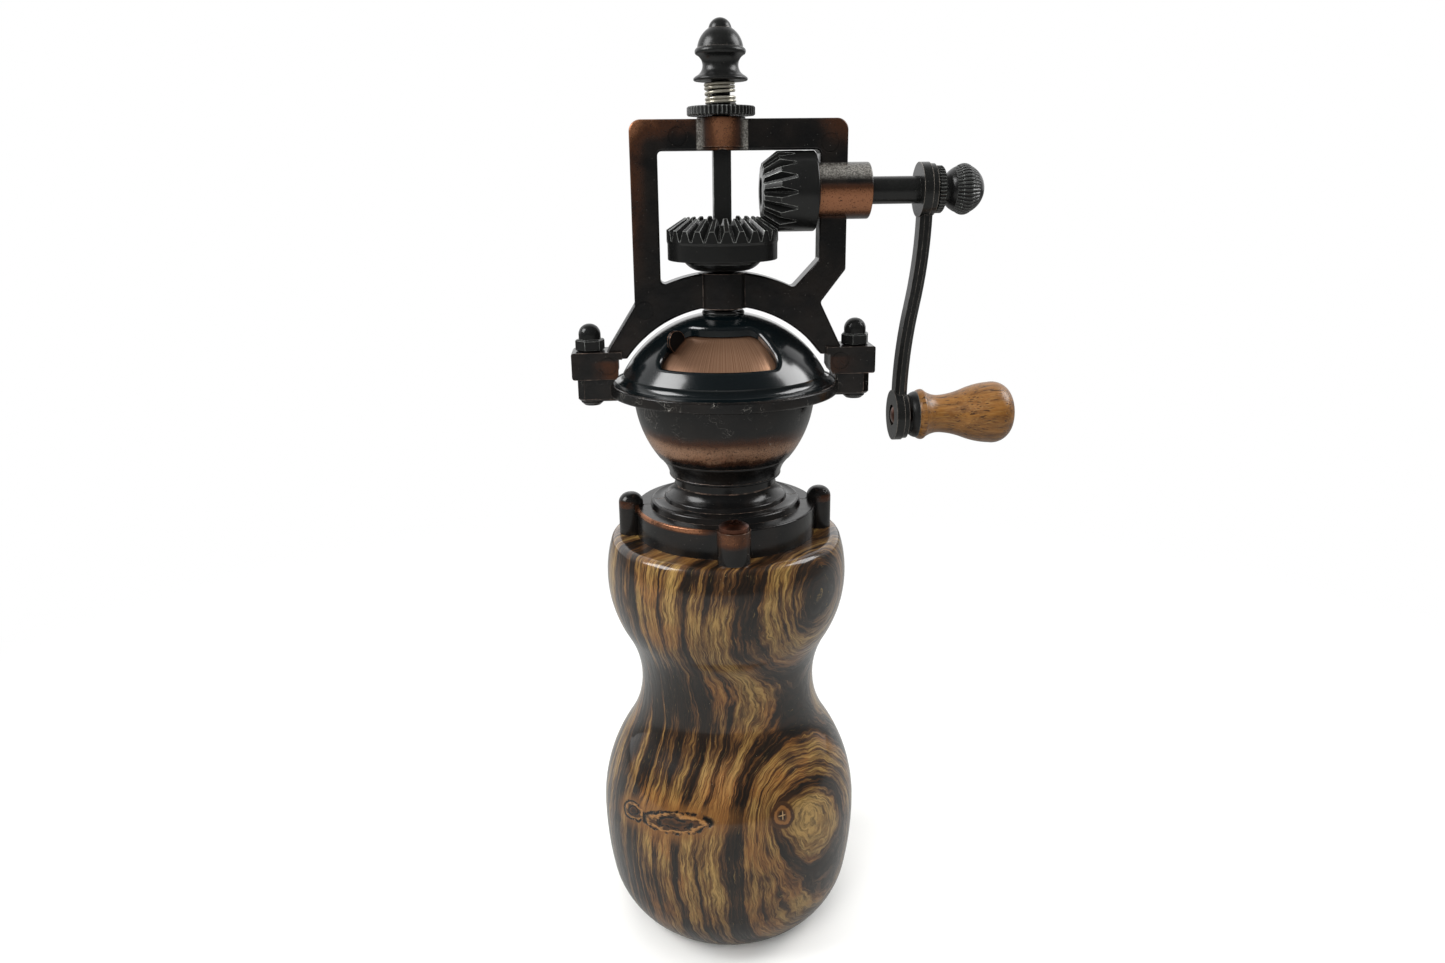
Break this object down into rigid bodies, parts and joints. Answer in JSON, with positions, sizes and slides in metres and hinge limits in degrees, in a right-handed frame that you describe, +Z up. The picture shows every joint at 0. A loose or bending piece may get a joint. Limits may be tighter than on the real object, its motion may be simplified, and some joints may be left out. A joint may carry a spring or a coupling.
{
  "type": "hand-cranked spice mill",
  "caption": "Hand-cranked pepper and spice mill with a turned wooden body, an open cast frame, bevel gears, a domed filling bowl with a sliding shutter and a wooden crank knob.",
  "frame": {"origin": "middle of the foot, on the spindle's axis, in the plane that the mill stands on", "axes": "+Z up along the spindle; +X along the crank's shaft, from the spindle towards the crank; -Y towards the filling window"},
  "size_m": [0.1249, 0.0772, 0.2623],
  "materials": {
    "lacquered_wood": "glossy clear lacquer over strongly figured brown wood",
    "knob_wood": "waxed open-pored golden wood",
    "bronzed_casting": "oil-rubbed dark bronze, rubbed to copper on edges",
    "blackened_casting": "satin blackened casting",
    "blackened_steel": "satin blackened machined steel",
    "black_gloss": "deep gloss black with a blue-green cast",
    "brushed_copper": "brushed antique copper",
    "coppered_screw": "brown coppered steel",
    "bright_steel": "bright spring wire",
    "grey_steel": "plain grey steel",
    "ceramic": "white grinding ceramic"
  },
  "bodies": {
    "base": {"wood_body": "lacquered_wood", "collar_front": "bronzed_casting", "collar_rear": "bronzed_casting", "collar_screws": "coppered_screw", "bowl": "bronzed_casting", "dome_cover": "black_gloss", "dome_eyelet": "blackened_steel", "frame": "bronzed_casting", "frame_bolts": "blackened_steel", "acorn_nuts": "blackened_steel", "burr_plate": "grey_steel", "burr_ring": "ceramic", "spindle_bridge": "grey_steel", "burr_screws": "grey_steel"},
    "shutter_leaf": {"shutter": "brushed_copper"},
    "crank": {"bevel_pinion": "blackened_steel", "pinion_pin": "blackened_steel", "crank_shaft": "blackened_steel", "crank_arm": "blackened_casting", "arm_lock_ring": "blackened_steel", "ball_nut": "blackened_steel"},
    "knob": {"knob_pin": "coppered_screw", "knob_ferrule": "grey_steel", "wood_knob": "knob_wood"},
    "gear": {"bevel_gear": "blackened_steel"},
    "spindle_unit": {"spindle": "blackened_steel", "finial": "blackened_casting", "spring": "bright_steel", "burr_cone": "ceramic", "rotor_washer": "grey_steel", "rotor_screw": "grey_steel"},
    "grind_nut": {"adjust_nut": "blackened_steel"}
  },
  "joints": [
    {"name": "crank_turn", "type": "hinge", "parent": "base", "child": "crank", "pos_m": [0.03, 0, 0.21945], "axis": [1, 0, 0], "continuous": true},
    {"name": "gear_turn", "type": "hinge", "parent": "base", "child": "gear", "pos_m": [0, 0, 0.205], "axis": [0, 0, 1], "continuous": true},
    {"name": "knob_spin", "type": "hinge", "parent": "crank", "child": "knob", "pos_m": [0.05, 0, 0.1575], "axis": [1, 0, 0], "continuous": true},
    {"name": "nut_turn", "type": "hinge", "parent": "gear", "child": "grind_nut", "pos_m": [0, 0, 0.2397], "axis": [0, 0, 1], "range_deg": [-360, 360]},
    {"name": "spindle_lift", "type": "slide", "parent": "gear", "child": "spindle_unit", "axis": [0, 0, 1], "range_m": [-0.0008, 0.0008], "deforming": ["spring"]},
    {"name": "shutter_turn", "type": "hinge", "parent": "base", "child": "shutter_leaf", "pos_m": [0, 0, 0.18], "axis": [0, 0, 1], "range_deg": [0, 72]}
  ],
  "couplings": [
    {"joint": "gear_turn", "follows": "crank_turn", "ratio": 0.66667},
    {"joint": "nut_turn", "follows": "spindle_lift", "rad_per_m": -7854}
  ]
}
